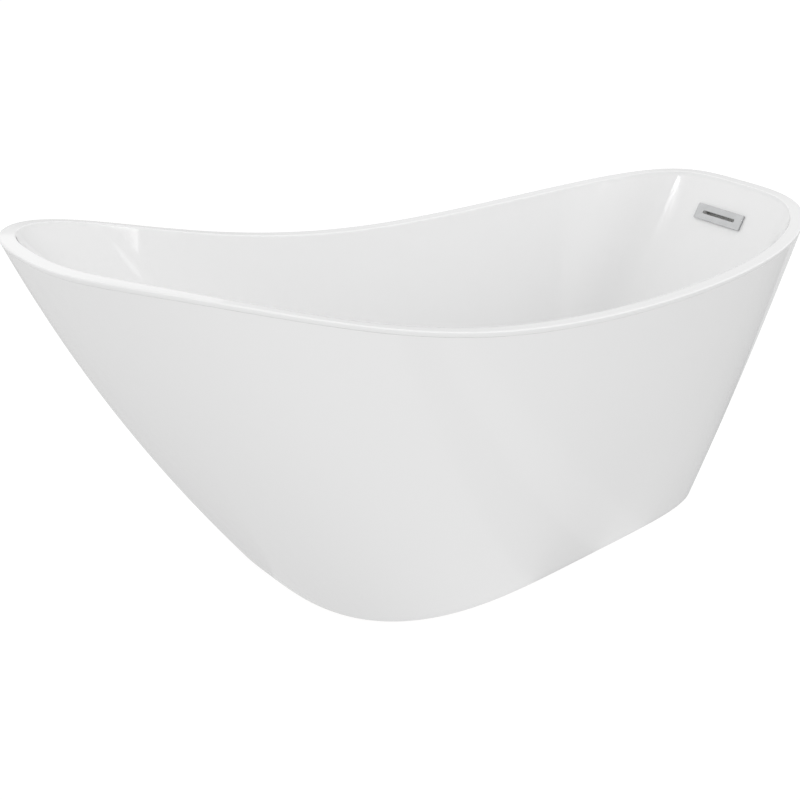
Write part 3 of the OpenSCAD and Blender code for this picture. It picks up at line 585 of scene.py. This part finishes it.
def build_skirt():
    """The outer skirt: its visible wall, the tongue behind the lip, then its inner face."""
    s = Shape()
    drop = LIP_HEIGHT + SEAM
    top = s.height - drop
    outer = [
        s.skirt(FLOOR_GAP + FOOT_EDGE * (1 - q), SKIRT_REVEAL + FOOT_EDGE * (1 - c))
        for q, c in reversed(arc(5))
    ]
    for t in np.linspace(0, 1, 56)[1:-1]:
        rise = max(0.0, (t - (1 - BLEND)) / BLEND)
        inset = SKIRT_REVEAL + (TOP_REVEAL - SKIRT_REVEAL) * rise
        outer.append(s.skirt((FLOOR_GAP + FOOT_EDGE) * (1 - t) + top * t, inset))
    outer += [s.skirt(top - SEAM, TOP_REVEAL), s.skirt(top, TOP_REVEAL + SEAM)]
    tongue_back = TONGUE_IN + TONGUE_WALL
    tongue = [
        s.skirt(top, TONGUE_IN),
        s.rim_section(TONGUE_IN, TONGUE_DROP),
        s.rim_section(tongue_back, TONGUE_DROP),
        s.skirt(s.height - 2 * drop, tongue_back),
    ]
    inner = [
        s.skirt((s.height - 3 * drop) * (1 - t) + FLOOR_GAP * t, SKIRT_REVEAL + SKIRT_WALL)
        for t in np.linspace(0, 1, 28)
    ]
    verts, faces = skin(outer + tongue + inner)
    piece = link_mesh("outer_skirt_fine", verts, faces, "tub", "skirt_white")
    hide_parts("outer_skirt")


def build_stiffener():
    """The plywood strip inside the skirt's foot, with eased edges."""
    s = Shape()
    outer, inner, low, high, ease = 6.0, 18.0, 6.0, 46.0, 1.2
    middle = (low + high) / 2
    section = (
        (low, inner - ease), (low, outer + ease), (low + ease, outer), (middle, outer),
        (high - ease, outer), (high, outer + ease), (high, inner - ease),
        (high - ease, inner), (middle, inner), (low + ease, inner),
    )
    verts, faces = skin([s.skirt(z, inset) for z, inset in section])
    piece = link_mesh("skirt_stiffener_fine", verts, faces, "tub", slot_of("skirt_stiffener"))
    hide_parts("skirt_stiffener")


# ---------------------------------------------------------------- carried-over hard parts

# Edges that bend by more than this many degrees are rounded
SOFT_ANGLE = 36


def soften(node, width):
    """A piece with the CAD node's own shape and small rounded edges, in its place."""
    bm = bmesh.new()
    bm.from_mesh(frame["nodes"][node].data)
    bmesh.ops.remove_doubles(bm, verts=bm.verts, dist=2e-6)
    bmesh.ops.dissolve_limit(
        bm, angle_limit=math.radians(0.6), verts=bm.verts, edges=bm.edges,
        delimit={"NORMAL"},
    )
    mesh = bpy.data.meshes.new(node + "_soft")
    bm.to_mesh(mesh)
    bm.free()
    piece = link_piece(node + "_soft", mesh, body_of(node), slot_of(node), SOFT_ANGLE)
    bevel = piece.modifiers.new("bevel", "BEVEL")
    bevel.width = width * MM
    bevel.segments = 2
    bevel.limit_method = "ANGLE"
    bevel.angle_limit = math.radians(SOFT_ANGLE)
    bevel.use_clamp_overlap = True
    bevel.miter_outer = "MITER_ARC"
    apply_modifiers(piece)
    mark_sharp(piece.data, SOFT_ANGLE)
    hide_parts(node)


def build_spring():
    """The plug's spring, copied from the part's coil into a mesh of its own. On the real plug it
    shortens as the plug is pressed down.
    """
    node = "click_spring"
    mesh = frame["nodes"][node].data.copy()
    piece = link_piece("click_spring_coil", mesh, body_of(node), slot_of(node), 50)
    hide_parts(node)
    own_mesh(piece)


# ---------------------------------------------------------------- threads and hose

STEM_R, PITCH, THREAD_DEPTH = 5.95, 1.75, 0.95
# Over what length a thread fades out, and the flat share of its crest and of its root
THREAD_FADE, THREAD_FLAT = 1.2, 0.125
# The stem's plain end: its chamfer up and in
END_RISE, END_CHAMFER = 0.6, 0.55
COLLAR_H, COLLAR_ACROSS = 6.0, 19.0
PAD_TOP = 15.0
# The gap between the stacked lengths of a stem, so that their ends don't share a plane
STACK_GAP = 0.02


def add_rings(bm, rings, closed):
    """Adds rings of points as one skin, with flat ends, or joined last to first."""
    made = [[bm.verts.new(p) for p in ring] for ring in rings]
    count = len(made[0])
    pairs = list(zip(made, made[1:]))
    if closed:
        pairs.append((made[-1], made[0]))
    for a, b in pairs:
        for i in range(count):
            j = (i + 1) % count
            bm.faces.new((a[i], a[j], b[j], b[i]))
    if not closed:
        bm.faces.new(list(reversed(made[0])))
        bm.faces.new(made[-1])


def turns(count):
    """The angles of count points round a circle."""
    return [2 * math.pi * k / count for k in range(count)]


def round_ring(x, y, z, r, count):
    return [((x + r * math.cos(a)) * MM, (y + r * math.sin(a)) * MM, z * MM) for a in turns(count)]


def thread_rings(x, y, low, high):
    """Rings up a screw whose ridge climbs one pitch a turn, with eased ends."""
    sides, steps = 24, 6
    rings = []
    total = round((high - low) / PITCH * steps)
    for k in range(total + 1):
        z = low + (high - low) * k / total
        ease = min(1.0, (z - low) / THREAD_FADE, (high - z) / THREAD_FADE)
        ring = []
        for m, a in enumerate(turns(sides)):
            phase = (z / PITCH - m / sides) % 1.0
            ridge = (1 - abs(2 * phase - 1)) * (1 + 2 * THREAD_FLAT) - THREAD_FLAT
            ridge = min(1.0, max(0.0, ridge))
            r = STEM_R - THREAD_DEPTH * (1 - ridge * ease)
            ring.append(((x + r * math.cos(a)) * MM, (y + r * math.sin(a)) * MM, z * MM))
        rings.append(ring)
    return rings


def build_stem(node):
    """A foot's screw: thread above, hexagonal collar on the pad and a plain end in it."""
    low, high = [Vector(v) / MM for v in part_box(node)]
    x, y = (low.x + high.x) / 2, (low.y + high.y) / 2
    corner = COLLAR_ACROSS / 2 / math.cos(math.pi / 6)
    top = PAD_TOP + COLLAR_H
    plain_end = (
        (low.z, STEM_R - END_CHAMFER), (low.z + END_RISE, STEM_R), (PAD_TOP - STACK_GAP, STEM_R),
    )
    collar = (
        (PAD_TOP, corner - 0.5), (PAD_TOP + 0.4, corner), (top - 0.8, corner), (top, corner - 1.2),
    )
    bm = bmesh.new()
    for levels, sides in ((plain_end, 24), (collar, 6)):
        add_rings(bm, [round_ring(x, y, z, r, sides) for z, r in levels], False)
    add_rings(bm, thread_rings(x, y, top + STACK_GAP, high.z), False)
    mesh = bpy.data.meshes.new(node + "_thread")
    bm.to_mesh(mesh)
    bm.free()
    piece = link_piece(node + "_thread", mesh, body_of(node), slot_of(node), 40)
    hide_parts(node)


# The hose's route by x and z in millimetres, as in the part
HOSE_ROUTE = (
    (750.8, 424.3), (738.3, 402.7), (690, 322), (645, 256), (605, 196), (560, 145), (505, 117),
    (449.3, 113), (424.3, 113),
)
# Its outer and inner radius, the length and depth of a rib, and the plain length at each end
HOSE_R, HOSE_BORE, RIB, RIB_DEPTH, CUFF = 10.4, 7.6, 4.2, 1.6, 14.0


def smooth_line(points, steps):
    """A smooth curve through points, as in the part."""
    first = 2 * points[0] - points[1]
    last = 2 * points[-1] - points[-2]
    ends = [first, *points, last]
    line = []
    for k in range(len(points) - 1):
        a, b, c, d = ends[k:k + 4]
        for m in range(steps):
            t = m / steps
            line.append(0.5 * (2 * b + (c - a) * t + (2 * a - 5 * b + 4 * c - d) * t * t
                               + (3 * b - a - 3 * c + d) * t * t * t))
    return line + [points[-1]]


def build_hose():
    """The overflow hose, corrugated between two plain cuffs."""
    sides, steps = 28, 66
    line = smooth_line([np.array(p, float) for p in HOSE_ROUTE], steps)
    lengths = np.cumsum([0.0] + [np.linalg.norm(b - a) for a, b in zip(line, line[1:])])
    outer, inner = [], []
    for k, (x, z) in enumerate(line):
        t = line[min(k + 1, len(line) - 1)] - line[max(k - 1, 0)]
        t = t / np.linalg.norm(t)
        along = min(lengths[k], lengths[-1] - lengths[k])
        wave = 0.5 - 0.5 * math.cos(2 * math.pi * lengths[k] / RIB)
        ribbed = HOSE_R - (RIB_DEPTH * wave if along > CUFF else 0.0)
        for rings, r in ((outer, ribbed), (inner, HOSE_BORE)):
            rings.append([
                ((x - t[1] * r * math.sin(a)) * MM, r * math.cos(a) * MM,
                 (z + t[0] * r * math.sin(a)) * MM)
                for a in turns(sides)
            ])
    bm = bmesh.new()
    # The bore is plain, so every eighth of its rings is enough
    add_rings(bm, outer + inner[::-8], True)
    mesh = bpy.data.meshes.new("overflow_hose_ribbed")
    bm.to_mesh(mesh)
    bm.free()
    piece = link_piece("overflow_hose_ribbed", mesh, "tub", slot_of("overflow_hose"), 50)
    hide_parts("overflow_hose")


# ---------------------------------------------------------------- studio


def stage_plane(name, corners, strength, shade=0.0):
    """A flat stage piece that glows, with a little of its own shading."""
    mesh = bpy.data.meshes.new(name)
    mesh.from_pydata(corners, [], [(0, 1, 2, 3)])
    plane = bpy.data.objects.new(name, mesh)
    bpy.context.scene.collection.objects.link(plane)
    material, _, shader, _ = new_material(name, (shade, shade, shade), 1.0)
    shader.inputs["Specular IOR Level"].default_value = 0.0
    shader.inputs["Emission Color"].default_value = (1, 1, 1, 1)
    shader.inputs["Emission Strength"].default_value = strength
    mesh.materials.append(material)
    return plane


# The floor's half side in metres, its glow and how light its own shading is
FLOOR_HALF, FLOOR_GLOW, FLOOR_SHADE = 40.0, 0.93, 0.12


def make_floor():
    """The pale floor that is seen, which sheds no light of its own on the tub."""
    r = FLOOR_HALF
    corners = [(-r, -r, 0), (r, -r, 0), (r, r, 0), (-r, r, 0)]
    floor = stage_plane("floor", corners, FLOOR_GLOW, FLOOR_SHADE)
    floor.visible_diffuse = False
    floor.visible_glossy = False
    floor.visible_shadow = False


def make_glow(name, y0, y1, lean, levels):
    """Light from the floor, unseen itself: its strength at each x along the line GLOW_LINE."""
    r = 12.0
    glow = stage_plane(name, [(-r, y0, -MM), (r, y0, -MM), (r, y1, -MM), (-r, y1, -MM)], GLOW_TOP)
    glow.visible_camera = False
    glow.visible_shadow = False
    material = glow.data.materials[0]
    n = Nodes(material.node_tree)
    coords = n.add("TexCoord")
    across = n.add("VectorMath", operation="DOT_PRODUCT")
    across.inputs[1].default_value = (1, lean, 0)
    n.link(coords, "Object", across, 0)
    place = n.add("MapRange")
    place.inputs["From Min"].default_value = -GLOW_SPAN + lean * GLOW_LINE
    place.inputs["From Max"].default_value = GLOW_SPAN + lean * GLOW_LINE
    n.link(across, "Value", place, "Value")
    steps = n.add("ValToRGB")
    elements = steps.color_ramp.elements
    elements.remove(elements[1])
    for k, (x, level) in enumerate(levels):
        at = (x + GLOW_SPAN) / (2 * GLOW_SPAN)
        element = elements[0] if k == 0 else elements.new(at)
        element.position = at
        element.color = (*(level / GLOW_TOP,) * 3, 1)
    n.link(place, "Result", steps, "Fac")
    n.link(steps, "Color", material.node_tree.nodes["Principled BSDF"], "Emission Color")


def make_world():
    """A soft surround: broad lobes of light, each facing one way."""
    world = bpy.data.worlds.new("studio")
    bpy.context.scene.world = world
    world.use_nodes = True
    n = Nodes(world.node_tree)
    background = world.node_tree.nodes["Background"]
    coords = n.add("TexCoord")
    total = n.add("Value")
    total.outputs[0].default_value = WORLD_BASE
    for azimuth, elevation, power, strength in LOBES:
        a, e = math.radians(azimuth), math.radians(elevation)
        dot = n.add("VectorMath", operation="DOT_PRODUCT")
        dot.inputs[1].default_value = (
            math.sin(a) * math.cos(e), -math.cos(a) * math.cos(e), math.sin(e))
        n.link(coords, "Generated", dot, 0)
        facing = n.add("Math", operation="MAXIMUM")
        facing.inputs[1].default_value = 0.0
        n.link(dot, "Value", facing, 0)
        narrow = n.add("Math", operation="POWER")
        narrow.inputs[1].default_value = power
        n.link(facing, 0, narrow, 0)
        add = n.add("Math", operation="MULTIPLY_ADD")
        add.inputs[1].default_value = strength
        n.link(narrow, 0, add, 0)
        n.link(total, 0, add, 2)
        total = add
    n.link(total, 0, background, "Strength")
    background.inputs["Color"].default_value = (1, 1, 1, 1)


def add_lamp(name, start, end, width, aim, power):
    """A strip light whose long side runs from start to end, facing aim."""
    start, end = Vector(start), Vector(end)
    data = bpy.data.lights.new(name, "AREA")
    data.shape = "RECTANGLE"
    data.size, data.size_y = (end - start).length, width
    data.energy = power
    lamp = bpy.data.objects.new(name, data)
    bpy.context.scene.collection.objects.link(lamp)
    x = (end - start).normalized()
    z = (start + end) / 2 - Vector(aim)
    z = (z - x * z.dot(x)).normalized()
    y = z.cross(x)
    turn = Matrix((x, y, z)).transposed().to_4x4()
    lamp.matrix_world = Matrix.Translation((start + end) / 2) @ turn
    lamp.visible_camera = False


# Light from the floor: the strength that stands for white on its ramp, the ramp's reach to
# both sides along X, how far it leans per metre of Y, and the Y where the levels' x is measured
GLOW_TOP, GLOW_SPAN, GLOW_LEAN, GLOW_LINE = 1.5, 2.0, 0.19, -0.3
# Levels by x. The dips in front of the tub are the soft stripes on its front wall.
GLOW_FRONT = (
    (-1.6, 0.73), (-0.85, 0.73), (-0.35, 0.71), (-0.011, 0.70), (0.009, 0.51), (0.172, 0.51),
    (0.192, 0.69), (0.335, 0.69), (0.355, 0.56), (0.65, 0.56), (1.05, 0.49), (1.7, 0.49),
)
GLOW_BACK = ((-1.2, 0.74), (0.0, 0.61), (1.3, 0.72))
# Lobes of the surround: azimuth from the front to the right, elevation, narrowness, strength
WORLD_BASE = 0.46
LOBES = (
    (-60, 12, 10, 0.23), (-30, 12, 10, 0.52), (0, 12, 10, 0.55), (30, 12, 10, 0.1),
    (60, 12, 10, 0.25), (-60, 42, 10, 0.08), (-20, 42, 10, 0.26), (20, 42, 10, 0.43),
    (60, 42, 10, 1.12), (100, 20, 6, 0.22), (-100, 20, 6, 0.60), (180, 20, 4, 0.45),
    (-140, 25, 6, 0.36), (180, 60, 8, 0.48),
)
# The points in the basin that the lamps face, on its wall at each end
OVERFLOW_END, BACKREST_END = (0.76, 0.2, 0.53), (-0.56, 0.26, 0.6)
# Lamps: where each starts and ends, its width, the point it faces and its power in watts
LAMPS = (
    ("strip_left", (-1.6, 0.46, 2.32), (-1.6, 0.70, 2.33), 0.012, OVERFLOW_END, 0.17),
    ("strip_left_mid", (-1.6, 0.70, 2.33), (-1.6, 0.92, 2.345), 0.012, OVERFLOW_END, 0.05),
    ("strip_left_dim", (-1.6, 0.92, 2.345), (-1.6, 1.2, 2.36), 0.012, OVERFLOW_END, 0.02),
    ("strip_right", (1.9, -1.52, 0.345), (1.9, -1.25, 0.45), 0.012, BACKREST_END, 0.06),
    ("strip_right_far", (1.9, -1.25, 0.45), (1.9, -1.02, 0.497), 0.012, BACKREST_END, 0.06),
    ("patch_right", (1.9, -0.96, 0.56), (1.9, -0.84, 0.575), 0.04, BACKREST_END, 0.02),
    ("patch_front", (0.15, -4.0, 1.65), (0.36, -4.0, 1.6), 0.12, (0.3, 0.3, 0.55), 0.08),
    ("panel_back", (0.2, 3.0, 1.92), (2.12, 3.0, 1.92), 1.2, (0, 0, 0.6), 1.7),
)

# ---------------------------------------------------------------- the scene

BODIES = frame["record"]["behaviour"]["bodies"]
SLOTS = {p["node"]: p["material_slot"] for p in frame["record"]["subparts"]}
MATERIALS = make_materials()
CORNERS = ("front_left", "front_right", "rear_left", "rear_right")
# Pieces that get rounded edges, and how wide each edge is in millimetres
SOFT_EDGES = (
    ("overflow_cover", 0.3), ("overflow_seat", 0.5), ("overflow_body", 0.8),
    ("frame_rail_front", 1.5), ("frame_rail_rear", 1.5),
    ("crossbar_backrest", 1.5), ("crossbar_overflow", 1.5),
    ("frame_end_caps", 0.8), ("frame_bolts", 0.4), ("base_board", 0.8),
    ("foot_weld_nuts", 0.4), ("foot_lock_nuts", 0.4),
    *(("foot_pad_" + corner, 0.6) for corner in CORNERS),
    *(("foot_sole_" + corner, 0.5) for corner in CORNERS),
    ("hose_nut_upper", 0.4), ("hose_nut_lower", 0.4),
    ("drain_flange", 0.3), ("waste_body", 0.6), ("plug_cap", 0.5), ("plug_seal", 0.2),
    ("trap_union_nut", 0.5), ("trap_body", 0.8), ("outlet_nut", 0.5),
)
make_camera()
make_floor()
make_glow("glow_front", -12.0, 0.0, GLOW_LEAN, GLOW_FRONT)
make_glow("glow_back", 0.0, 12.0, 0.0, GLOW_BACK)
make_world()
for lamp in LAMPS:
    add_lamp(*lamp)
bpy.context.scene.view_settings.view_transform = "Standard"

for node, piece in frame["nodes"].items():
    piece.data.materials.clear()
    piece.data.materials.append(MATERIALS[slot_of(node)])

build_basin()
build_skirt()
build_stiffener()
build_hose()
build_spring()
for corner in CORNERS:
    build_stem("foot_stem_" + corner)
for node, width in SOFT_EDGES:
    soften(node, width)
